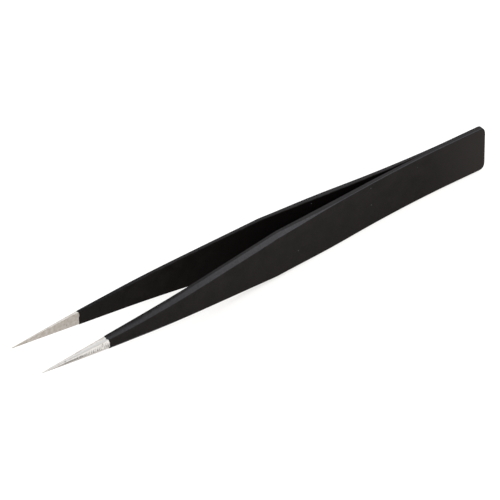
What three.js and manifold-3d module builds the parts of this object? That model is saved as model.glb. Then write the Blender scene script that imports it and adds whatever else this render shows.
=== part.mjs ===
// Precision tweezers with needle points: two ground steel arms spot-welded together at the tail, under a
// thin black static-dissipative coating that stops short of the bare tips.
//
// Millimetres, +Z up. The tweezers stand on the lower edges of their arms: X runs along them with the tail
// at +X and the points at -X, and the plane between the arms is y = 0. The left arm lies at -Y and the
// right arm at +Y. Along the length, u is the distance from the tail end, so x = LENGTH / 2 - u.
//
// Each arm is one strip of steel that bends in its thin rear part, the spring. Here it is cut across the
// middle of the spring, where the hinge that stands for that bending is: the tail blades stay with the
// welded joint, and the arm blades turn.

import * as THREE from "three";
import { mergeVertices } from "three/addons/utils/BufferGeometryUtils.js";
import Module from "manifold-3d";

const wasm = await Module();
wasm.setup();

// ---- driving dimensions ----

const LENGTH = 120;

// How far each arm's inner face leaves the middle plane: together as far as the joint's end, then parting
// more and more to the full slope, and bending back in towards the points.
const JOINT_END = 9.6;
const FULL_SLOPE_AT = 34.6;
const ARM_SLOPE = 0.07;
const BEND_IN_START = 76.2;
const BEND_IN_END = 93.7;
const TIP_SLOPE = 0.02;
const JOINT_GAP = 0.02; // between the two tail blades, where they are welded face to face

// Half the height of an arm, from its middle line to its upper edge.
const TAIL_HALF_HEIGHT = 5.43;
const SHOULDER_HALF_HEIGHT = 5.71;
const SHOULDER_AT = 57.7; // the widest point, where the taper to the point starts
const REAR_GROWTH = 4; // exponent of the slow widening from the tail to the shoulder
const TIP_HALF_HEIGHT = 0.09;

// Thickness of the steel: thin and even along the joint, thickening through the spring, and thickest where
// the grip starts.
const TAIL_THICKNESS = 0.55;
const GRIP_THICKNESS = 1.42;
const THICKENING_START = 10;
const GRIP_START = 59.2;
const REAR_THICKENING = 1.3; // exponent of the rise between them
const TIP_THICKNESS = 0.12;
const TIP_THINNING = 3.5; // exponent: the arm keeps its thickness for long and thins near the point

// The outer long edges: barely eased along the spring, ground to broad bevels from the grip forward. Near
// the point, where a bevel of full size would not fit, it takes a growing share of the half height.
const EASED_WIDTH = 0.08;
const EASED_DROP = 0.08;
const BEVEL_RUNOUT_START = 39.4;
const BEVEL_RUNOUT_END = 60.2;
const BEVEL_SHARE_OF_THICKNESS = 0.57;
const BEVEL_SHARE_AT_TIP = 0.38; // of the thickness, from the coating's front end on
const BEVEL_DROP = 0.82;
const BEVEL_SHARE_OF_HEIGHT = 0.34;
const BEVEL_SHARE_AT_POINT = 0.62;
const BEVEL_DEEPENING = 5; // exponent of the growth from one share to the other

// The tail's end edge: bowed from top to bottom with rounded corners, and rounded over to the outer faces.
const TAIL_BOW_LENGTH = 1.6; // from the edge to where the tail has its full height
const TAIL_BOW_FALL = 2.5;
const TAIL_BOW_POWER = 7;
const TAIL_BOW_SKIPPED = 0.02; // left off the tip of that outline, so that the edge has a straight middle
const TAIL_ROUND_LENGTH = 0.5; // from the edge to where the tail has its full thickness
const TAIL_EDGE_SHARE = 0.7; // the share of a blade's thickness that is left at the edge

// The coating.
const COAT_OUTSIDE = 0.08; // from the steel to the outside of the coating
const COAT_INSIDE = 0.02; // running gap that keeps the coating's mesh off the steel's
const COAT_END = 103.1; // the steel is bare from here to the point

// The hinge that stands for the spring, and the saw cut on it.
const FLEX_AT = 22;
const FLEX_CUT = 0.3;

// The spot welds: lens-shaped nuggets in a row along the joint.
const WELD_RADIUS = 1.3;
const WELD_HALF_THICKNESS = 0.3;
const WELD_CLEARANCE = 0.05;
const WELDS = { spot_weld_rear: 2.8, spot_weld_middle: 5.6, spot_weld_front: 8.4 };

const STATION_STEP = 2.5; // spacing of the lofts' stations along an arm
const OVERRUN = 1; // how far a cutter runs past the face that it opens

const MIDDLE_HEIGHT = SHOULDER_HALF_HEIGHT + COAT_OUTSIDE;
const LEFT = -1;
const RIGHT = 1;

// ---- the shape of an arm, as functions of u ----

function mix(from, to, share) {
  return from + (to - from) * share;
}

// 0 up to start, 1 from end on, with a smooth rise between them.
function smoothStep(u, start, end) {
  const t = Math.min(1, Math.max(0, (u - start) / (end - start)));
  return t * t * (3 - 2 * t);
}

// 0 up to start, then a parabola, and from end on a straight line of slope 1.
function easedRamp(u, start, end) {
  if (u <= start) return 0;
  if (u < end) return (u - start) ** 2 / (2 * (end - start));
  return u - (start + end) / 2;
}

function innerFace(u) {
  const parting = ARM_SLOPE * easedRamp(u, JOINT_END, FULL_SLOPE_AT);
  const bendIn = (ARM_SLOPE - TIP_SLOPE) * easedRamp(u, BEND_IN_START, BEND_IN_END);
  return JOINT_GAP / 2 + parting - bendIn;
}

function thickness(u) {
  if (u < GRIP_START) {
    const rise = Math.max(0, u - THICKENING_START) / (GRIP_START - THICKENING_START);
    return mix(TAIL_THICKNESS, GRIP_THICKNESS, rise ** REAR_THICKENING);
  }
  const share = (u - GRIP_START) / (LENGTH - GRIP_START);
  return mix(GRIP_THICKNESS, TIP_THICKNESS, share ** TIP_THINNING);
}

function halfHeight(u) {
  if (u < SHOULDER_AT) {
    return mix(TAIL_HALF_HEIGHT, SHOULDER_HALF_HEIGHT, (u / SHOULDER_AT) ** REAR_GROWTH);
  }
  return mix(SHOULDER_HALF_HEIGHT, TIP_HALF_HEIGHT, (u - SHOULDER_AT) / (LENGTH - SHOULDER_AT));
}

// How much of the half height a bevel drops by where it is limited by that height.
function bevelShareOfHeight(u) {
  const share = Math.max(0, u - GRIP_START) / (LENGTH - GRIP_START);
  return mix(BEVEL_SHARE_OF_HEIGHT, BEVEL_SHARE_AT_POINT, share ** BEVEL_DEEPENING);
}

// The share of the full height that the tail's bowed end leaves at this distance from its edge.
function bevelShareOfThickness(u) {
  return mix(BEVEL_SHARE_OF_THICKNESS, BEVEL_SHARE_AT_TIP, smoothStep(u, BEND_IN_START, COAT_END));
}

function tailBow(distance) {
  const short = Math.max(0, 1 - (distance + TAIL_BOW_SKIPPED) / TAIL_BOW_LENGTH);
  return (1 - short ** TAIL_BOW_FALL) ** (1 / TAIL_BOW_POWER);
}

// The share of the full thickness that the rounded edge leaves at this distance from it.
function tailRounding(distance) {
  const short = Math.max(0, 1 - distance / TAIL_ROUND_LENGTH);
  return mix(TAIL_EDGE_SHARE, 1, Math.sqrt(1 - short ** 2));
}

// Moves each side of a closed outline outwards by distance, and joins the sides again at their corners.
// The outline runs clockwise.
function grown(outline, distance) {
  const count = outline.length;
  const sides = outline.map((point, i) => {
    const along = outline[(i + 1) % count].clone().sub(point).normalize();
    const outwards = new THREE.Vector2(-along.y, along.x);
    return { along, start: point.clone().addScaledVector(outwards, distance) };
  });
  return sides.map((side, i) => {
    const before = sides[(i + count - 1) % count];
    const apart = side.start.clone().sub(before.start);
    const travel = apart.cross(side.along) / before.along.cross(side.along);
    return before.start.clone().addScaledVector(before.along, travel);
  });
}

// The right arm's cross-section at u, grown by offset on every side: six corners (y, z), clockwise.
function section(u, offset) {
  const runout = smoothStep(u, BEVEL_RUNOUT_START, BEVEL_RUNOUT_END);
  const fromEdge = u - (COAT_OUTSIDE - offset);
  const half = halfHeight(u) * tailBow(fromEdge);
  const bevelWidth = mix(EASED_WIDTH, bevelShareOfThickness(u) * thickness(u), runout);
  const bevelDrop = mix(EASED_DROP, Math.min(BEVEL_DROP, bevelShareOfHeight(u) * half), runout);
  const inner = innerFace(u);
  const outer = inner + thickness(u) * tailRounding(fromEdge);
  const upper = [
    [inner, half],
    [outer - bevelWidth, half],
    [outer, half - bevelDrop],
  ];
  const lower = upper.map(([y, z]) => [y, -z]).reverse();
  const outline = [...upper, ...lower].map(([y, z]) => new THREE.Vector2(y, z));
  return grown(outline, offset);
}

// ---- solids ----

// The distances from the tail at which a loft has a section: evenly spaced, with one on each edge that
// crosses the arm and closer ones round the tail's end.
function stationsBetween(from, to) {
  const extra = [SHOULDER_AT];
  if (from < TAIL_BOW_LENGTH) {
    for (const share of [0.03, 0.08, 0.16, 0.3, 0.5, 0.75, 1]) extra.push(from + share * TAIL_BOW_LENGTH);
  }
  const last = Math.max(from, ...extra.filter((u) => u < TAIL_BOW_LENGTH + OVERRUN));
  const count = Math.ceil((to - last) / STATION_STEP);
  const even = Array.from({ length: count }, (_, i) => last + ((to - last) * (i + 1)) / count);
  const kept = even.filter((u) => Math.abs(u - SHOULDER_AT) > STATION_STEP / 4);
  return [from, ...extra.filter((u) => u > from && u < to), ...kept].sort((a, b) => a - b);
}

// A closed body through the arm's sections from one distance to another.
function armLoft(side, from, to, offset) {
  const positions = [];
  const stations = stationsBetween(from, to);
  for (const u of stations) {
    for (const corner of section(u, offset)) {
      positions.push(LENGTH / 2 - u, side * corner.x, MIDDLE_HEIGHT + corner.y);
    }
  }
  const corners = positions.length / 3 / stations.length;
  const triangles = [];
  const addTriangle = (a, b, c) => triangles.push(...(side === RIGHT ? [a, b, c] : [a, c, b]));
  for (let i = 0; i + 1 < stations.length; i++) {
    for (let j = 0; j < corners; j++) {
      const a = i * corners + j;
      const b = i * corners + ((j + 1) % corners);
      addTriangle(a, b, b + corners);
      addTriangle(a, b + corners, a + corners);
    }
  }
  const lastRing = (stations.length - 1) * corners;
  for (let j = 1; j + 1 < corners; j++) {
    addTriangle(0, j + 1, j);
    addTriangle(lastRing, lastRing + j, lastRing + j + 1);
  }
  const geometry = new THREE.BufferGeometry();
  geometry.setAttribute("position", new THREE.Float32BufferAttribute(positions, 3));
  geometry.setIndex(triangles);
  return geometry;
}

function toSolid(geometry) {
  const bare = geometry.clone();
  bare.deleteAttribute("normal");
  bare.deleteAttribute("uv");
  const merged = mergeVertices(bare);
  return new wasm.Manifold(
    new wasm.Mesh({
      numProp: 3,
      vertProperties: merged.attributes.position.array,
      triVerts: new Uint32Array(merged.index.array),
    }),
  );
}

function toGeometry(solid) {
  const { vertProperties, triVerts } = solid.getMesh();
  const geometry = new THREE.BufferGeometry();
  geometry.setAttribute("position", new THREE.BufferAttribute(vertProperties, 3));
  geometry.setIndex(new THREE.BufferAttribute(triVerts, 1));
  geometry.computeVertexNormals();
  return geometry;
}

// One weld nugget, a lens lying in the joint's plane, grown by clearance on every side.
function weldLens(u, clearance) {
  const radius = WELD_RADIUS + clearance;
  const half = WELD_HALF_THICKNESS + clearance;
  const profile = [];
  const steps = 6;
  for (let i = 0; i <= steps; i++) {
    const angle = (Math.PI * i) / steps;
    const onAxis = i === 0 || i === steps;
    profile.push(new THREE.Vector2(onAxis ? 0 : radius * Math.sin(angle), -half * Math.cos(angle)));
  }
  return new THREE.LatheGeometry(profile, 16).translate(LENGTH / 2 - u, 0, MIDDLE_HEIGHT);
}

const TAIL_CUT = FLEX_AT - FLEX_CUT / 2;
const ARM_CUT = FLEX_AT + FLEX_CUT / 2;

// The welded rear half of an arm, with its share of each weld nugget's room cut out of its inner face.
function tailBlade(side) {
  let blade = toSolid(armLoft(side, COAT_OUTSIDE, TAIL_CUT, 0));
  for (const u of Object.values(WELDS)) {
    blade = blade.subtract(toSolid(weldLens(u, WELD_CLEARANCE)));
  }
  return toGeometry(blade);
}

// The turning front part of an arm: the rest of the spring, the grip and the needle point.
function armBlade(side) {
  return toGeometry(toSolid(armLoft(side, ARM_CUT, LENGTH, 0)));
}

// The coating over the joined tails: one closed cap round both, which forks into a sleeve on each arm.
function tailCoating() {
  const skins = [LEFT, RIGHT].map((side) => toSolid(armLoft(side, 0, TAIL_CUT, COAT_OUTSIDE)));
  const rooms = [LEFT, RIGHT].map((side) =>
    toSolid(armLoft(side, COAT_OUTSIDE - COAT_INSIDE, TAIL_CUT + OVERRUN, COAT_INSIDE)),
  );
  return toGeometry(skins[0].add(skins[1]).subtract(rooms[0].add(rooms[1])));
}

// The coating on a turning arm: a sleeve open at the cut and at the bare tip.
function armCoating(side) {
  const skin = toSolid(armLoft(side, ARM_CUT, COAT_END, COAT_OUTSIDE));
  const room = toSolid(armLoft(side, ARM_CUT - OVERRUN, COAT_END + OVERRUN, COAT_INSIDE));
  return toGeometry(skin.subtract(room));
}

// ---- the assembly ----

const group = new THREE.Group();

function addPiece(name, geometry, color, roughness, metalness) {
  const material = new THREE.MeshStandardMaterial({ color, roughness, metalness });
  const mesh = new THREE.Mesh(geometry, material);
  mesh.name = name;
  group.add(mesh);
}

function addSteel(name, geometry) {
  addPiece(name, geometry, 0xb9b2ab, 0.38, 1);
}

function addCoating(name, geometry) {
  addPiece(name, geometry, 0x232325, 0.6, 0);
}

for (const [sideName, side] of [
  ["left", LEFT],
  ["right", RIGHT],
]) {
  addSteel(sideName + "_tail_blade", tailBlade(side));
  addSteel(sideName + "_arm_blade", armBlade(side));
  addCoating(sideName + "_arm_coating", armCoating(side));
}
addCoating("tail_coating", tailCoating());
for (const [name, u] of Object.entries(WELDS)) {
  addSteel(name, weldLens(u, 0));
}

export default group;
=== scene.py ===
"""The finished look of the precision tweezers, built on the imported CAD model.

Each arm is one strip of steel that bends in its rear part, so its steel and its coating are each one
continuous skin here, blended across the hinge that stands for the bending. Distances along the tweezers
are u, counted from the tail's end edge; every section of an arm is worked out from u by the shape rules
that the CAD model follows, with the corners rounded as they really are.
"""

import math

import bpy
import numpy as np
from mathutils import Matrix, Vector


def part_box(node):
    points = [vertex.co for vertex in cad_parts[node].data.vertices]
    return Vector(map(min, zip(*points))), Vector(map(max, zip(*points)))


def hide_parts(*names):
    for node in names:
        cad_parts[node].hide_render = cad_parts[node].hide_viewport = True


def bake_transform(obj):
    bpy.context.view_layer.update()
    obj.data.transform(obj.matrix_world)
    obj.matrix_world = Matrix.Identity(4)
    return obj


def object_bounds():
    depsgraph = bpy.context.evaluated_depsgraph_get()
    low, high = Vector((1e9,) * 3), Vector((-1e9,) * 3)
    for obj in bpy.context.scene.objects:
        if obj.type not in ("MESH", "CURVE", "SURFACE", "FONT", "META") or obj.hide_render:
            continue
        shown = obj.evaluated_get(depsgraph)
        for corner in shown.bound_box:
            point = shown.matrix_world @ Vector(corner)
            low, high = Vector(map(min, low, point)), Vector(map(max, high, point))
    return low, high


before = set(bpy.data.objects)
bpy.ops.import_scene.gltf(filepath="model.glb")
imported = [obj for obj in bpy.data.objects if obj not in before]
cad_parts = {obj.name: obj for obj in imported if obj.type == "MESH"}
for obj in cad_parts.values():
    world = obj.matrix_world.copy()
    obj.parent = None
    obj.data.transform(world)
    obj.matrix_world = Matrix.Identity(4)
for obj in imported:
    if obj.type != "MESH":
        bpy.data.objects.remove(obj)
CAD_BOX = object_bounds()

MM = 0.001

# ---- sizes that the frame gives ----

TAIL_X = CAD_BOX[1].x
LENGTH = CAD_BOX[1].x - CAD_BOX[0].x
MIDDLE = (CAD_BOX[0].z + CAD_BOX[1].z) / 2
COAT_END = TAIL_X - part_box("left_arm_coating")[0].x  # where the black coating ends and the steel is bare

LEFT = -1
RIGHT = 1

# ---- shape rules of an arm, as in the CAD model ----

JOINT_END = 9.6 * MM  # where the arms start to part
FULL_SLOPE_AT = 34.6 * MM
ARM_SLOPE = 0.07
BEND_IN_START = 76.2 * MM
BEND_IN_END = 93.7 * MM
TIP_SLOPE = 0.02
JOINT_GAP = 0.02 * MM  # between the two tail blades, where they are welded face to face

TAIL_HALF_HEIGHT = 5.43 * MM
SHOULDER_HALF_HEIGHT = 5.71 * MM
SHOULDER_AT = 57.7 * MM  # the widest point, where the taper to the point starts
REAR_GROWTH = 4  # exponent of the slow widening from the tail to the shoulder
TIP_HALF_HEIGHT = 0.09 * MM

TAIL_THICKNESS = 0.55 * MM
GRIP_THICKNESS = 1.42 * MM
THICKENING_START = 10 * MM
GRIP_START = 59.2 * MM
REAR_THICKENING = 1.3  # exponent of the rise between them
TIP_THICKNESS = 0.12 * MM
TIP_THINNING = 3.5  # exponent: the arm keeps its thickness for long and thins near the point

EASED_WIDTH = 0.08 * MM  # the narrow bevel that eases the outer edges behind the broad ones
EASED_DROP = 0.08 * MM
BEVEL_RUNOUT_START = 39.4 * MM
BEVEL_RUNOUT_END = 60.2 * MM
BEVEL_SHARE_OF_THICKNESS = 0.57
BEVEL_SHARE_AT_TIP = 0.38  # of the thickness, from the coating's front end on
BEVEL_DROP = 0.82 * MM
BEVEL_SHARE_OF_HEIGHT = 0.34
BEVEL_SHARE_AT_POINT = 0.62
BEVEL_DEEPENING = 5  # exponent of the growth from one share of the height to the other

TAIL_BOW_LENGTH = 1.6 * MM  # from the edge to where the tail has its full height
TAIL_BOW_FALL = 2.5
TAIL_BOW_POWER = 7
TAIL_BOW_SKIPPED = 0.02 * MM  # left off the tip of that outline, so that the edge has a straight middle
TAIL_ROUND_LENGTH = 0.5 * MM  # from the edge to where the tail has its full thickness
TAIL_EDGE_SHARE = 0.7  # the share of a blade's thickness that is left at the edge

COAT_THICKNESS = 0.079 * MM  # a little less than the CAD model's, to stay inside its flat facets

# ---- finer shapes that only the looks have ----

COAT_LIP = 0.12 * MM  # length over which the coating's front edge rounds down to the steel
COAT_EDGE_LEAD = {LEFT: 0.7 * MM, RIGHT: 0.2 * MM}  # how much further forward that edge is at an arm's top
COAT_EDGE_WANDER = 0.16 * MM  # how far it strays from a smooth line
COAT_EDGE_WAVES = ((3, 0.35), (5, 0.3), (8, 0.25), (13, 0.2), (21, 0.15))  # repeats round an arm, and size
COAT_EDGE_PHASE = {LEFT: 0.7, RIGHT: 2.9}
COAT_EDGE_REACH = 3 * MM  # how far back from the edge its straying fades out
COAT_LINING = 0.005 * MM  # from the steel to the coating's inside
EASED_RADIUS = 0.12 * MM
COAT_BEVEL_RADIUS = 0.16 * MM
COAT_FRONT_RADIUS = 1.0 * MM  # the coating runs softly over the bevels just behind its front edge
COAT_INNER_RADIUS = 0.13 * MM
STEEL_BEVEL_RADIUS = 0.05 * MM
TIP_BEVEL_RADIUS = 0.6 * MM  # the bare tips' bevels are blended by hand into their outer faces
TIP_BLENDING = 3 * MM  # length over which the one radius becomes the other
STEEL_INNER_RADIUS = 0.04 * MM
SEAM_RADIUS = 0.012 * MM  # where the two arms' coatings meet at the tail
SEAM_END = 1.3 * JOINT_END  # from here on that radius grows
FREE_EDGE_START = 2.2 * JOINT_END  # and from here on it is the full inner radius
TIP_ROUNDING = 0.08 * MM

# ---- where the looks change along the arms, each from the first distance to the second ----

TAIL_HIGHLIGHT_FADING = (0, 19 * MM)  # the painted highlight on the tail's outer faces fades out
GAP_SHADE_FADING = (50 * MM, 92 * MM)  # the painted shade on the inner faces fades out as they grow far enough apart
OPEN_LIGHT_RISE = (76 * MM, 106 * MM)  # painted light on the inner faces grows as they come far apart
GRIP_DIMMING = (48 * MM, 62 * MM)  # the painted highlight on the bevels weakens forward, a first time
FRONT_DIMMING = (66 * MM, 86 * MM)  # and a second time
LAND_SHADING = (SHOULDER_AT, COAT_END)  # painted shade on the lands grows forward
POINT_SHADING = (COAT_END + 3 * MM, LENGTH - 5 * MM)  # the bare points' lower parts grow darker forward
SHEEN_AT_GRIP = 0.83  # how strong the painted highlight on the bevels is after the first weakening
SHEEN_IN_FRONT = 0.7  # the share of that which the second one leaves
LAND_SHEEN_BEHIND = 0.26  # how strong the painted highlight on the lands is behind the broad bevels
LAND_SHEEN_IN_FRONT = 0.2  # and beside them

# ---- how finely the skins are cut ----

# An arm's corners in the order of its outline, and how many points the outline has on each side.
INNER_TOP, LAND_TOP, OUTER_TOP, OUTER_LOW, LAND_LOW, INNER_LOW = range(6)
CORNER_COUNT = 6
CORNER_HEIGHTS = (1, 1, 0.5, -0.5, -1, -1)  # as shares of the half height
ARC_POINTS = 6
SIDE_POINTS = {INNER_TOP: 2, LAND_TOP: 3, OUTER_TOP: 10, OUTER_LOW: 3, LAND_LOW: 2, INNER_LOW: 12}
SIDE_MARGIN = 0.01  # the share of a side between its outermost points and the arcs
LONGEST_CUT = 0.45  # the largest share of a side that the arc at one end may take

TAIL_STATIONS = 20
STEEL_BODY_START = 1.8 * MM  # the first section in front of the bowed end
STEEL_SPACING = 0.75 * MM
STEEL_FRONT_START = COAT_END - MM  # the bare tip and a little under the coating are cut more finely
STEEL_FRONT_STATIONS = 90
STEEL_POINT_STATIONS = 5
COAT_BODY_START = 2.2 * MM  # as for the steel
COAT_SPACING = 0.6 * MM
COAT_FRONT_STATIONS = 16
COAT_LIP_STATIONS = 6
SHARP_ANGLE = math.radians(40)  # an edge with a larger angle is shaded sharp


def mix(start, end, share):
    return start + (end - start) * share


def smooth_step(u, start, end):
    """0 up to start, 1 from end on, with a smooth rise between them."""
    t = np.clip((u - start) / (end - start), 0, 1)
    return t * t * (3 - 2 * t)


def eased_ramp(u, start, end):
    """0 up to start, then a parabola, and from end on a straight line of slope 1."""
    curved = np.clip(u - start, 0, end - start) ** 2 / (2 * (end - start))
    return curved + np.maximum(u - end, 0)


def inner_face(u):
    """How far the steel's inner face is from the middle plane."""
    parting = ARM_SLOPE * eased_ramp(u, JOINT_END, FULL_SLOPE_AT)
    bend_in = (ARM_SLOPE - TIP_SLOPE) * eased_ramp(u, BEND_IN_START, BEND_IN_END)
    return JOINT_GAP / 2 + parting - bend_in


def thickness(u):
    rise = np.clip((u - THICKENING_START) / (GRIP_START - THICKENING_START), 0, 1)
    rear = mix(TAIL_THICKNESS, GRIP_THICKNESS, rise**REAR_THICKENING)
    share = np.clip((u - GRIP_START) / (LENGTH - GRIP_START), 0, 1)
    front = mix(GRIP_THICKNESS, TIP_THICKNESS, share**TIP_THINNING)
    return np.where(u < GRIP_START, rear, front)


def half_height(u):
    rear_share = np.clip(u / SHOULDER_AT, 0, 1) ** REAR_GROWTH
    rear = mix(TAIL_HALF_HEIGHT, SHOULDER_HALF_HEIGHT, rear_share)
    share = (u - SHOULDER_AT) / (LENGTH - SHOULDER_AT)
    front = mix(SHOULDER_HALF_HEIGHT, TIP_HALF_HEIGHT, share)
    return np.where(u < SHOULDER_AT, rear, front)


def bevel_share_of_height(u):
    share = np.clip((u - GRIP_START) / (LENGTH - GRIP_START), 0, 1)
    return mix(BEVEL_SHARE_OF_HEIGHT, BEVEL_SHARE_AT_POINT, share**BEVEL_DEEPENING)


def bevel_share_of_thickness(u):
    return mix(BEVEL_SHARE_OF_THICKNESS, BEVEL_SHARE_AT_TIP, smooth_step(u, BEND_IN_START, COAT_END))


def tail_bow(distance):
    """The share of the full height that the tail's bowed end leaves at this distance from its edge."""
    short = np.clip(1 - (distance + TAIL_BOW_SKIPPED) / TAIL_BOW_LENGTH, 0, 1)
    return (1 - short**TAIL_BOW_FALL) ** (1 / TAIL_BOW_POWER)


def tail_rounding(distance):
    """The share of the full thickness that the rounded edge leaves at this distance from it."""
    short = np.clip(1 - distance / TAIL_ROUND_LENGTH, 0, 1)
    return mix(TAIL_EDGE_SHARE, 1, np.sqrt(1 - short**2))


def arm_corners(u, inner, offset, setback):
    """The six corners (y, z) of an arm's section at each u, with its outer sides moved out by offset.

    inner is where the inner face is, and setback is how far this skin's end is from the tail's end edge.
    """
    runout = smooth_step(u, BEVEL_RUNOUT_START, BEVEL_RUNOUT_END)
    half = half_height(u) * tail_bow(u - setback)
    width = mix(EASED_WIDTH, bevel_share_of_thickness(u) * thickness(u), runout)
    drop = mix(EASED_DROP, np.minimum(BEVEL_DROP, bevel_share_of_height(u) * half), runout)
    outer = inner_face(u) + thickness(u) * tail_rounding(u - setback)
    slant = np.hypot(width, drop)
    # The bevel's side is the line where bevel_y * y + bevel_z * z equals reach.
    bevel_y = drop / slant
    bevel_z = width / slant
    reach = bevel_y * outer + bevel_z * (half - drop) + offset
    top = half + offset
    side = outer + offset
    land_end = (reach - bevel_z * top) / bevel_y
    face_end = (reach - bevel_y * side) / bevel_z
    upper = [(inner, top), (land_end, top), (side, face_end)]
    lower = [(y, -z) for y, z in reversed(upper)]
    return np.stack([np.stack(np.broadcast_arrays(y, z), -1) for y, z in upper + lower], -2)


def corner_cut(here, other, radius, interior_angle):
    """Where the arc round a corner starts on the side that runs to the other corner."""
    side = other - here
    length = np.linalg.norm(side, axis=-1)
    cut = np.minimum(radius / np.tan(interior_angle / 2), LONGEST_CUT * length)
    return here + side * (cut / length)[..., None]


def rounded_corner(corners, index, radius):
    """The start and end of the arc round one corner."""
    before = corners[..., (index - 1) % CORNER_COUNT, :]
    here = corners[..., index, :]
    after = corners[..., (index + 1) % CORNER_COUNT, :]
    back = (before - here) / np.linalg.norm(before - here, axis=-1)[..., None]
    on = (after - here) / np.linalg.norm(after - here, axis=-1)[..., None]
    angle = np.arccos(np.clip((back * on).sum(-1), -1, 1))
    return corner_cut(here, before, radius, angle), corner_cut(here, after, radius, angle)


def side_shares(count):
    return np.linspace(SIDE_MARGIN, 1 - SIDE_MARGIN, count)


def outline_slots():
    """The outline's points: for each its corner, whether it is on the arc there, and how far along."""
    slots = []
    for corner in range(CORNER_COUNT):
        slots += [(corner, True, share) for share in np.linspace(0, 1, ARC_POINTS)]
        slots += [(corner, False, share) for share in side_shares(SIDE_POINTS[corner])]
    return slots


SLOTS = outline_slots()


def ring_points(u, inner, offset, setback, radii):
    """The points (y, z) of the outline at each u, which has one column for each of SLOTS."""
    points = []
    for column, (corner, on_arc, share) in enumerate(SLOTS):
        at = u[:, column]
        corners = arm_corners(at, inner(at), offset, setback)
        start, end = rounded_corner(corners, corner, radii(corner, at))
        if on_arc:
            here = corners[:, corner]
            point = (1 - share) ** 2 * start + 2 * share * (1 - share) * here + share**2 * end
        else:
            following = (corner + 1) % CORNER_COUNT
            next_start, _ = rounded_corner(corners, following, radii(following, at))
            point = mix(end, next_start, share)
        points.append(point)
    return np.stack(points, 1)


def coat_inner(u):
    """The coating's inner face: on the middle plane as far as the two arms' coatings join."""
    return np.maximum(inner_face(u) - COAT_THICKNESS, 0)


def lining_inner(u):
    return inner_face(u) - COAT_LINING


def steel_radii(corner, u):
    if corner in (INNER_TOP, INNER_LOW):
        return np.full_like(u, STEEL_INNER_RADIUS)
    front = smooth_step(u, BEVEL_RUNOUT_START, BEVEL_RUNOUT_END)
    radius = mix(EASED_RADIUS, STEEL_BEVEL_RADIUS, front)
    if corner in (OUTER_TOP, OUTER_LOW):
        radius = mix(radius, TIP_BEVEL_RADIUS, smooth_step(u, COAT_END, COAT_END + TIP_BLENDING))
    return radius


def coat_radii(corner, u):
    if corner in (INNER_TOP, INNER_LOW):
        return mix(SEAM_RADIUS, COAT_INNER_RADIUS, smooth_step(u, SEAM_END, FREE_EDGE_START))
    front = smooth_step(u, BEVEL_RUNOUT_START, BEVEL_RUNOUT_END)
    radius = mix(EASED_RADIUS, COAT_BEVEL_RADIUS, front)
    if corner in (LAND_TOP, LAND_LOW):
        radius = mix(radius, COAT_FRONT_RADIUS, smooth_step(u, BEND_IN_START, COAT_END))
    return radius


def tail_stations(setback):
    """Distances from the tail, bunched up where its end is bowed."""
    shares = 1 - np.cos(np.linspace(0, math.pi / 2, TAIL_STATIONS))
    return setback + shares * TAIL_BOW_LENGTH


def slot_heights():
    """How high each of the outline's points is, from -1 at its bottom to 1 at its top."""
    ends = CORNER_HEIGHTS + CORNER_HEIGHTS[:1]
    return np.array([ends[c] if on_arc else mix(ends[c], ends[c + 1], share) for c, on_arc, share in SLOTS])


def wandering_edge(side):
    """How far forward of its mean each of the outline's points has the coating's front edge."""
    turn = np.arange(len(SLOTS)) / len(SLOTS) * 2 * math.pi
    phase = COAT_EDGE_PHASE[side]
    strays = sum(size * np.sin(n * turn + phase * (n + 1)) for n, size in COAT_EDGE_WAVES)
    return COAT_EDGE_LEAD[side] * np.clip(slot_heights(), 0, 1) ** 2 + COAT_EDGE_WANDER * strays


def skin_faces(count, around):
    """The faces between count rings of points, and one at each end."""
    faces = []
    for i in range(count - 1):
        for j in range(around):
            a = i * around + j
            b = i * around + (j + 1) % around
            faces.append((a, b, b + around, a + around))
    faces.append(tuple(range(around - 1, -1, -1)))
    faces.append(tuple(range((count - 1) * around, count * around)))
    return faces


def build_skin(name, side, rings, material):
    """A closed mesh through rings of points; each item of rings is a pair of u and (y, z) arrays."""
    u = np.concatenate([ring[0] for ring in rings])
    yz = np.concatenate([ring[1] for ring in rings])
    places = np.stack([TAIL_X - u, side * yz[..., 0], MIDDLE + yz[..., 1]], -1).reshape(-1, 3)
    faces = skin_faces(*u.shape)
    if side == LEFT:
        faces = [face[::-1] for face in faces]
    mesh = bpy.data.meshes.new(name)
    mesh.from_pydata(places.tolist(), [], faces)
    mesh.polygons.foreach_set("use_smooth", [True] * len(faces))
    mesh.set_sharp_from_angle(angle=SHARP_ANGLE)
    store_marks(mesh, places, u)
    mesh.materials.append(material)
    piece = bpy.data.objects.new(name, mesh)
    bpy.context.scene.collection.objects.link(piece)
    return piece


def store_marks(mesh, places, u):
    """Attributes that the materials read: where each point rests, and what kind of surface it is on."""
    rest = mesh.attributes.new("rest", "FLOAT_VECTOR", "POINT")
    rest.data.foreach_set("vector", places.astype(np.float32).ravel())
    for name, values in surface_marks(u).items():
        mark = mesh.attributes.new(name, "FLOAT", "POINT")
        mark.data.foreach_set("value", values.astype(np.float32).ravel())


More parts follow.
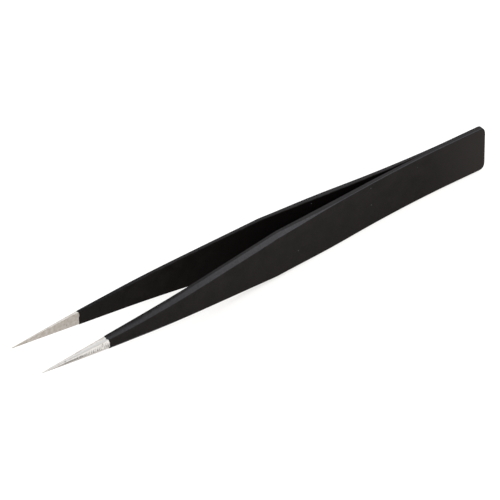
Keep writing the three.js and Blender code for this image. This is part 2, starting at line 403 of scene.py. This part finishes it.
def surface_marks(u):
    """The marks at each of the outline's points for each u, each from 0 to 1.

    edge is 1 on the rounded corners. bevel is 1 on both bevels, underside on the lower one alone,
    outer_face on the outer face and inner_face on the inner face; bevel and outer_face fall off smoothly
    over the corners beside them. painted_sheen is a painted highlight, highest on the bevels and lower
    on the lands between them and the inner face. painted_land_shade is painted shade that rises forward
    on the lands, and painted_tail_highlight is a painted highlight that fades from the tail forward on the
    outer face. painted_gap_shade is painted shade, highest where the arms' inner faces are close together,
    and painted_open_light is painted light where they are far apart. low rises from the top of an outer
    face to its bottom, and point rises along the bare tip.
    """
    corner, on_arc, share = (np.array(column)[None, :] for column in zip(*SLOTS))
    bevel = (~on_arc & np.isin(corner, (LAND_TOP, OUTER_LOW))).astype(float)
    bevel += on_arc * np.where(corner == LAND_TOP, share, 0)
    bevel += on_arc * np.where(corner == LAND_LOW, 1 - share, 0)
    land = ~on_arc & np.isin(corner, (INNER_TOP, LAND_LOW))
    beside_bevel = on_arc & np.isin(corner, (LAND_TOP, LAND_LOW))
    beside_inner = on_arc & np.isin(corner, (INNER_TOP, INNER_LOW))
    outer = ~on_arc & (corner == OUTER_TOP)
    beside_outer = on_arc & (corner == OUTER_TOP)
    inner = ~on_arc & (corner == INNER_LOW)
    underside = ~on_arc & (corner == OUTER_LOW)
    runout = smooth_step(u, BEVEL_RUNOUT_START, BEVEL_RUNOUT_END)
    bevel_sheen = mix(1, SHEEN_AT_GRIP, smooth_step(u, *GRIP_DIMMING))
    bevel_sheen = bevel_sheen * mix(1, SHEEN_IN_FRONT, smooth_step(u, *FRONT_DIMMING))
    lands = land + beside_inner + beside_bevel * (1 - bevel)
    lowness = (1 - slot_heights()[None, :] / CORNER_HEIGHTS[OUTER_TOP]) / 2
    everywhere = np.ones_like(u)
    return {
        "edge": everywhere * on_arc,
        # a painted highlight on the bevels and lands
        "painted_sheen": bevel * bevel_sheen + land * mix(LAND_SHEEN_BEHIND, LAND_SHEEN_IN_FRONT, runout),
        "bevel": everywhere * bevel,
        "painted_land_shade": lands * smooth_step(u, *LAND_SHADING),
        "painted_tail_highlight": outer * (1 - smooth_step(u, *TAIL_HIGHLIGHT_FADING)),
        "inner_face": everywhere * inner,
        "painted_gap_shade": inner * (1 - smooth_step(u, *GAP_SHADE_FADING)),
        "painted_open_light": inner * smooth_step(u, *OPEN_LIGHT_RISE),
        "outer_face": everywhere * (outer + beside_outer * share),
        "low": everywhere * outer * lowness,
        "underside": everywhere * underside,
        "point": smooth_step(u, *POINT_SHADING),
    }


def steel_skin(name, side, material):
    """An arm's steel from the tail's end to the needle point, with the point rounded off."""
    along = np.concatenate(
        [
            tail_stations(COAT_THICKNESS),
            np.arange(STEEL_BODY_START, STEEL_FRONT_START, STEEL_SPACING),
            np.linspace(STEEL_FRONT_START, LENGTH - TIP_ROUNDING, STEEL_FRONT_STATIONS),
        ]
    )
    u = np.repeat(along[:, None], len(SLOTS), 1)
    points = ring_points(u, inner_face, 0, COAT_THICKNESS, steel_radii)
    rings = [(u, points)]
    last = points[-1]
    centre = last.mean(0)
    for angle in np.linspace(0, math.pi / 2, STEEL_POINT_STATIONS)[1:-1]:
        shrunk = centre + (last - centre) * math.cos(angle)
        at = LENGTH - TIP_ROUNDING * (1 - math.sin(angle))
        rings.append((np.full((1, len(SLOTS)), at), shrunk[None]))
    return build_skin(name, side, rings, material)


def coat_skin(name, side, material):
    """An arm's coating: its outside, the rounded front edge, and the lining that faces the steel."""
    along = np.concatenate(
        [
            tail_stations(0),
            np.arange(COAT_BODY_START, COAT_END - COAT_EDGE_REACH, COAT_SPACING),
            np.linspace(COAT_END - COAT_EDGE_REACH, COAT_END - COAT_LIP, COAT_FRONT_STATIONS),
        ]
    )
    wander = wandering_edge(side)

    def with_wander(at):
        fade = smooth_step(at, COAT_END - COAT_EDGE_REACH, COAT_END)
        return at[:, None] + fade[:, None] * wander[None, :]

    u = with_wander(along)
    rings = [(u, ring_points(u, coat_inner, COAT_THICKNESS, 0, coat_radii))]
    for angle in np.linspace(0, math.pi / 2, COAT_LIP_STATIONS)[1:]:
        at = with_wander(np.array([COAT_END - COAT_LIP * (1 - math.sin(angle))]))
        height = COAT_THICKNESS * math.cos(angle) - COAT_LINING
        rings.append((at, ring_points(at, lambda v: inner_face(v) - height, height, 0, coat_radii)))
    lining_start = COAT_THICKNESS - COAT_LINING
    lining_u = with_wander(np.minimum(along[::2][::-1] + lining_start, COAT_END - 2 * COAT_LIP))
    lining = ring_points(lining_u, lining_inner, COAT_LINING, lining_start, steel_radii)
    rings.append((lining_u, lining))
    return build_skin(name, side, rings, material)


# ---- materials; colours are linear ----


class Finish:
    """A material's nodes, with short calls for the ones that the finishes share. Lengths are in mm."""

    def __init__(self, name, place_attribute="rest"):
        self.material = bpy.data.materials.new(name)
        self.material.use_nodes = True
        self.nodes = self.material.node_tree.nodes
        self.links = self.material.node_tree.links
        self.surface = self.nodes["Principled BSDF"]
        scale = self.add("ShaderNodeVectorMath", operation="SCALE")
        scale.inputs["Scale"].default_value = 1 / MM
        if place_attribute:
            place = self.add("ShaderNodeAttribute", attribute_name=place_attribute).outputs["Vector"]
        else:
            place = self.add("ShaderNodeTexCoord").outputs["Object"]
        self.links.new(place, scale.inputs[0])
        self.place = scale.outputs[0]

    def add(self, kind, **settings):
        node = self.nodes.new(kind)
        for key, value in settings.items():
            setattr(node, key, value)
        return node

    def feed(self, socket, value):
        if isinstance(value, bpy.types.NodeSocket):
            self.links.new(value, socket)
        else:
            socket.default_value = value

    def stretched(self, stretch):
        node = self.add("ShaderNodeVectorMath", operation="MULTIPLY")
        self.links.new(self.place, node.inputs[0])
        node.inputs[1].default_value = stretch
        return node.outputs[0]

    def noise(self, size, detail=3.0, stretch=(1, 1, 1), roughness=0.5):
        """Soft noise from about 0.3 to 0.7 whose features are size mm across."""
        node = self.add("ShaderNodeTexNoise")
        self.links.new(self.stretched(stretch), node.inputs["Vector"])
        node.inputs["Scale"].default_value = 1 / size
        node.inputs["Detail"].default_value = detail
        node.inputs["Roughness"].default_value = roughness
        return node.outputs["Fac"]

    def cells(self, size):
        """Distance to the nearest of scattered points, size mm apart, and a number from 0 to 1 for each."""
        node = self.add("ShaderNodeTexVoronoi")
        self.links.new(self.place, node.inputs["Vector"])
        node.inputs["Scale"].default_value = 1 / size
        parts = self.add("ShaderNodeSeparateColor")
        self.links.new(node.outputs["Color"], parts.inputs[0])
        return node.outputs["Distance"], parts.outputs[0]

    def mark(self, name):
        return self.add("ShaderNodeAttribute", attribute_name=name).outputs["Fac"]

    def ranged(self, value, low, high, to_low=0.0, to_high=1.0):
        node = self.add("ShaderNodeMapRange")
        for key, number in (("From Min", low), ("From Max", high), ("To Min", to_low), ("To Max", to_high)):
            node.inputs[key].default_value = number
        self.links.new(value, node.inputs["Value"])
        return node.outputs["Result"]

    def math(self, operation, first, second):
        node = self.add("ShaderNodeMath", operation=operation)
        self.feed(node.inputs[0], first)
        self.feed(node.inputs[1], second)
        return node.outputs[0]

    def blend(self, share, first, second):
        """A colour between first and second."""
        node = self.add("ShaderNodeMix", data_type="RGBA")
        self.feed(node.inputs["Factor"], share)
        for socket, color in zip([s for s in node.inputs if s.type == "RGBA"], (first, second)):
            self.feed(socket, color if isinstance(color, bpy.types.NodeSocket) else (*color, 1))
        return next(s for s in node.outputs if s.type == "RGBA")

    def tint(self, base, color, *shares):
        """base with color laid over it, as strongly as the product of the shares says."""
        share = shares[0]
        for factor in shares[1:]:
            share = self.math("MULTIPLY", share, factor)
        return self.blend(share, base, color)

    def bump(self, height, depth, below=None):
        """Relief of depth mm where height goes from 0 to 1, on top of another relief."""
        node = self.add("ShaderNodeBump")
        node.inputs["Distance"].default_value = depth * MM
        self.links.new(height, node.inputs["Height"])
        if below is not None:
            self.links.new(below, node.inputs["Normal"])
        return node.outputs["Normal"]


COAT_DARKER = (0.0036, 0.0027, 0.0021)
COAT_LIGHTER = (0.0088, 0.0070, 0.0059)
COAT_PAINTED_LOW_SHADE = (0.0024, 0.0014, 0.0008)
COAT_PAINTED_TAIL_HIGHLIGHT = (0.0150, 0.0125, 0.0110)
COAT_PAINTED_GAP_SHADE = (0.0010, 0.0003, 0.0001)
COAT_PAINTED_OPEN_LIGHT = (0.0130, 0.0115, 0.0100)
COAT_PAINTED_SHEEN = (0.0480, 0.0460, 0.0495)
COAT_PAINTED_LAND_SHADE = (0.0030, 0.0025, 0.0025)
COAT_SPECKLE = (0.021, 0.018, 0.017)
COAT_RUBBED = (0.028, 0.028, 0.030)
DUST = (0.12, 0.12, 0.13)


def coating_color(finish, mottle, speckle, rubbed):
    """The coating's colour, laid on in coats from the broadest differences to the dust."""
    base = finish.blend(mottle, COAT_DARKER, COAT_LIGHTER)
    # painted shade that darkens the outer faces towards their bottom
    base = finish.tint(base, COAT_PAINTED_LOW_SHADE, finish.mark("low"), 0.5)
    # painted highlight that lightens the outer faces near the tail
    base = finish.tint(base, COAT_PAINTED_TAIL_HIGHLIGHT, finish.mark("painted_tail_highlight"))
    # painted shade on the inner faces where the arms are close together
    base = finish.tint(base, COAT_PAINTED_GAP_SHADE, finish.mark("painted_gap_shade"), finish.ranged(speckle, 0, 1, 1.0, 0.85))
    # painted light on the inner faces where the arms are far apart
    base = finish.tint(base, COAT_PAINTED_OPEN_LIGHT, finish.mark("painted_open_light"), 0.5)
    grain = finish.ranged(finish.noise(0.3, detail=3), 0.35, 0.65, 0.75, 1.1)
    # painted highlight: a sheen painted on the bevels and, weaker, on the lands
    base = finish.tint(base, COAT_PAINTED_SHEEN, finish.mark("painted_sheen"), grain)
    # painted shade on the lands, growing forward
    base = finish.tint(base, COAT_PAINTED_LAND_SHADE, finish.mark("painted_land_shade"))
    not_inner = finish.math("SUBTRACT", 1.0, finish.mark("inner_face"))
    base = finish.tint(base, COAT_SPECKLE, not_inner, 0.3, speckle)
    base = finish.tint(base, COAT_RUBBED, rubbed, 0.4)
    distance, chance = finish.cells(2.6)
    dusty = finish.ranged(chance, 0.74, 0.75)
    return finish.tint(base, DUST, finish.ranged(distance, 0.05, 0.02), dusty, 0.8)


def coating_material():
    """Matte black epoxy: finely pebbled and mottled, with a painted sheen on the bevels, painted light and
    shade on its faces, rubbed edges and a little dust.
    """
    finish = Finish("black_epoxy_coating")
    surface = finish.surface
    mottle = finish.ranged(finish.noise(3.0, detail=4), 0.35, 0.65)
    speckle = finish.ranged(finish.noise(0.35, detail=4), 0.35, 0.65)
    rubbed = finish.math("MULTIPLY", finish.mark("edge"), finish.ranged(finish.noise(1.4), 0.4, 0.7))
    finish.feed(surface.inputs["Base Color"], coating_color(finish, mottle, speckle, rubbed))
    broad = finish.ranged(mottle, 0, 1, 0.52, 0.60)
    fine = finish.ranged(speckle, 0, 1, -0.06, 0.06)
    rough = finish.math("ADD", broad, fine)
    smooth_edge = finish.math("MULTIPLY", rubbed, 0.06)
    smooth_bevel = finish.math("MULTIPLY", finish.mark("painted_sheen"), 0.08)
    rough = finish.math("SUBTRACT", rough, finish.math("ADD", smooth_edge, smooth_bevel))
    rough = finish.math("ADD", rough, finish.math("MULTIPLY", finish.mark("inner_face"), 0.2))
    finish.feed(surface.inputs["Roughness"], rough)
    surface.inputs["Specular IOR Level"].default_value = 0.05
    relief = finish.bump(finish.noise(0.9, detail=2), 0.012)
    relief = finish.bump(finish.noise(0.16, detail=3), 0.008, below=relief)
    finish.feed(surface.inputs["Normal"], relief)
    return finish.material


STEEL_DARKER = (0.375, 0.340, 0.300)
STEEL_LIGHTER = (0.485, 0.450, 0.415)
STEEL_BEVEL = (0.56, 0.54, 0.52)
STEEL_PAINTED_LIT_TOP = (0.74, 0.71, 0.68)
STEEL_PAINTED_SHADED_LOW = (0.50, 0.47, 0.44)
STEEL_DARK_STROKE = (0.16, 0.152, 0.145)
STEEL_BRIGHT_STROKE = (0.80, 0.79, 0.77)
STEEL_SHADE = (0.10, 0.092, 0.086)
STEEL_PIT = (0.14, 0.13, 0.12)


def steel_color(finish, strokes):
    """The steel's colour: the ground faces, a painted highlight at the top of the outer faces and painted
    shade lower down, the strokes across them, the shade below and the pits.
    """
    outer = finish.mark("outer_face")
    low = finish.mark("low")
    tone = finish.ranged(finish.noise(0.7, detail=5), 0.35, 0.65)
    base = finish.blend(tone, STEEL_DARKER, STEEL_LIGHTER)
    base = finish.tint(base, STEEL_BEVEL, finish.mark("bevel"), 0.9)
    # painted light and shade: the outer faces are lighter at their top and darker towards their bottom
    ground = finish.blend(finish.ranged(low, 0.1, 0.9), STEEL_PAINTED_LIT_TOP, STEEL_PAINTED_SHADED_LOW)
    base = finish.tint(base, ground, outer, 0.9)
    dark_stroke = finish.ranged(strokes, 0.52, 0.57)
    base = finish.tint(base, STEEL_DARK_STROKE, outer, finish.ranged(low, 0.1, 0.5), dark_stroke, 0.75)
    base = finish.tint(base, STEEL_BRIGHT_STROKE, outer, finish.ranged(strokes, 0.49, 0.43), 0.7)
    lower_part = finish.math("MAXIMUM", finish.ranged(low, 0.0, 0.5), finish.mark("underside"))
    base = finish.tint(base, STEEL_SHADE, lower_part, finish.mark("point"), 0.9)
    distance, chance = finish.cells(1.2)
    pitted = finish.ranged(chance, 0.4, 0.41)
    return finish.tint(base, STEEL_PIT, finish.ranged(distance, 0.20, 0.10), pitted, 0.55)


def steel_material():
    """Satin stainless steel: ground along its length, with cross strokes on the outer face of the points."""
    finish = Finish("ground_stainless_steel")
    surface = finish.surface
    surface.inputs["Metallic"].default_value = 1.0
    grain = finish.noise(0.14, detail=4, stretch=(0.06, 1, 1), roughness=0.6)
    strokes = finish.noise(0.24, detail=3, stretch=(1.0, 0.25, 0.25), roughness=0.6)
    outer = finish.mark("outer_face")
    finish.feed(surface.inputs["Base Color"], steel_color(finish, strokes))
    rough = finish.ranged(grain, 0.35, 0.65, 0.30, 0.42)
    finish.feed(surface.inputs["Roughness"], finish.math("ADD", rough, finish.math("MULTIPLY", outer, 0.08)))
    relief = finish.bump(grain, 0.006)
    relief = finish.bump(finish.math("MULTIPLY", strokes, outer), 0.05, below=relief)
    finish.feed(surface.inputs["Normal"], relief)
    return finish.material


WELD_STRAW = (0.50, 0.38, 0.22)
WELD_BLUE = (0.26, 0.28, 0.38)


def weld_material():
    """Fused steel, with the straw and blue tints that the heat leaves."""
    finish = Finish("fused_weld_steel", place_attribute=None)
    surface = finish.surface
    surface.inputs["Metallic"].default_value = 1.0
    heat = finish.ranged(finish.noise(0.8, detail=3), 0.38, 0.62)
    finish.feed(surface.inputs["Base Color"], finish.blend(heat, WELD_STRAW, WELD_BLUE))
    finish.feed(surface.inputs["Roughness"], finish.ranged(finish.noise(0.2), 0.3, 0.7, 0.35, 0.6))
    finish.feed(surface.inputs["Normal"], finish.bump(finish.noise(0.3, detail=3), 0.02))
    return finish.material


FLOOR_DARKER = (0.33, 0.325, 0.32)
FLOOR_LIGHTER = (0.35, 0.345, 0.34)
FLOOR_GLOW = (1.0, 0.98, 0.95, 1)
FLOOR_GLOW_STRENGTH = 0.66


def floor_material():
    """A white light table: it glows a little, which keeps the shadows faint."""
    finish = Finish("pale_floor", place_attribute=None)
    surface = finish.surface
    tone = finish.ranged(finish.noise(90, detail=3), 0.3, 0.7)
    finish.feed(surface.inputs["Base Color"], finish.blend(tone, FLOOR_DARKER, FLOOR_LIGHTER))
    surface.inputs["Roughness"].default_value = 0.9
    surface.inputs["Specular IOR Level"].default_value = 0.1
    surface.inputs["Emission Color"].default_value = FLOOR_GLOW
    surface.inputs["Emission Strength"].default_value = FLOOR_GLOW_STRENGTH
    return finish.material


# ---- the pieces ----


def build_tweezers():
    coating = coating_material()
    steel = steel_material()
    weld = weld_material()
    for side_name, side in (("left", LEFT), ("right", RIGHT)):
        arm = side_name + "_arm"
        blade = steel_skin(side_name + "_steel", side, steel)
        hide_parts(side_name + "_tail_blade", arm + "_blade")
        coat = coat_skin(side_name + "_coating", side, coating)
        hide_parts("tail_coating", arm + "_coating")
        for piece in (blade, coat):
            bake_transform(piece)
    for name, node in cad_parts.items():
        if name.startswith("spot_weld"):
            node.data.materials.clear()
            node.data.materials.append(weld)


# ---- studio ----

CAMERA_AZIMUTH = -37.26
CAMERA_ELEVATION = 38.08
CAMERA_DISTANCE = 1.6725
CAMERA_TARGET = (-1.17 * MM, 1.54 * MM, MIDDLE)
CAMERA_LENS = 576
SENSOR_WIDTH = 36
CLIP_START = 0.01
CLIP_END = 20

FLOOR_RADIUS = 4
FLOOR_SIDES = 96

SKY_COLOR = (0.97, 1.0, 1.04, 1)
SKY_STRENGTH = (0.95, 1.7)  # near the horizon and overhead
SKY_RISE = (0.2, 0.6)  # how high the one turns into the other, where straight up is 1


def direction(azimuth, elevation):
    """From the object towards a viewer; azimuth 0 looks along +Y, in degrees."""
    a = math.radians(azimuth)
    e = math.radians(elevation)
    return Vector((math.sin(a) * math.cos(e), -math.cos(a) * math.cos(e), math.sin(e)))


def add_camera():
    data = bpy.data.cameras.new("camera")
    data.lens = CAMERA_LENS
    data.sensor_width = SENSOR_WIDTH
    data.clip_start = CLIP_START
    data.clip_end = CLIP_END
    camera = bpy.data.objects.new("camera", data)
    bpy.context.scene.collection.objects.link(camera)
    towards = direction(CAMERA_AZIMUTH, CAMERA_ELEVATION)
    camera.location = Vector(CAMERA_TARGET) + towards * CAMERA_DISTANCE
    camera.rotation_mode = "QUATERNION"
    camera.rotation_quaternion = (-towards).to_track_quat("-Z", "Y")
    bpy.context.scene.camera = camera


def add_softbox(name, location, size, power, color):
    """A square lamp that faces the middle of the floor."""
    data = bpy.data.lights.new(name, "AREA")
    data.shape = "SQUARE"
    data.size = size
    data.energy = power
    data.color = color
    light = bpy.data.objects.new(name, data)
    bpy.context.scene.collection.objects.link(light)
    light.location = location
    light.rotation_mode = "QUATERNION"
    light.rotation_quaternion = (-Vector(location)).to_track_quat("-Z", "Y")


def add_floor():
    bpy.ops.mesh.primitive_circle_add(vertices=FLOOR_SIDES, radius=FLOOR_RADIUS, fill_type="NGON")
    floor = bpy.context.object
    floor.name = "floor"
    floor.location.z = CAD_BOX[0].z
    floor.data.materials.append(floor_material())


def add_world():
    """A dome of soft light, even near the horizon and brighter overhead."""
    world = bpy.data.worlds.new("studio")
    world.use_nodes = True
    nodes = world.node_tree.nodes
    links = world.node_tree.links
    coordinates = nodes.new("ShaderNodeTexCoord")
    axes = nodes.new("ShaderNodeSeparateXYZ")
    height = nodes.new("ShaderNodeMapRange")
    height.interpolation_type = "SMOOTHSTEP"
    for key, number in zip(("From Min", "From Max", "To Min", "To Max"), SKY_RISE + SKY_STRENGTH):
        height.inputs[key].default_value = number
    links.new(coordinates.outputs["Generated"], axes.inputs[0])
    links.new(axes.outputs["Z"], height.inputs["Value"])
    background = nodes["Background"]
    background.inputs["Color"].default_value = SKY_COLOR
    links.new(height.outputs["Result"], background.inputs["Strength"])
    bpy.context.scene.world = world


def build_studio():
    add_camera()
    add_floor()
    add_world()
    add_softbox("key", location=(0.2, -0.2, 0.27), size=0.18, power=0.45, color=(0.92, 0.97, 1.0))
    bpy.context.scene.view_settings.view_transform = "Standard"


build_tweezers()
build_studio()
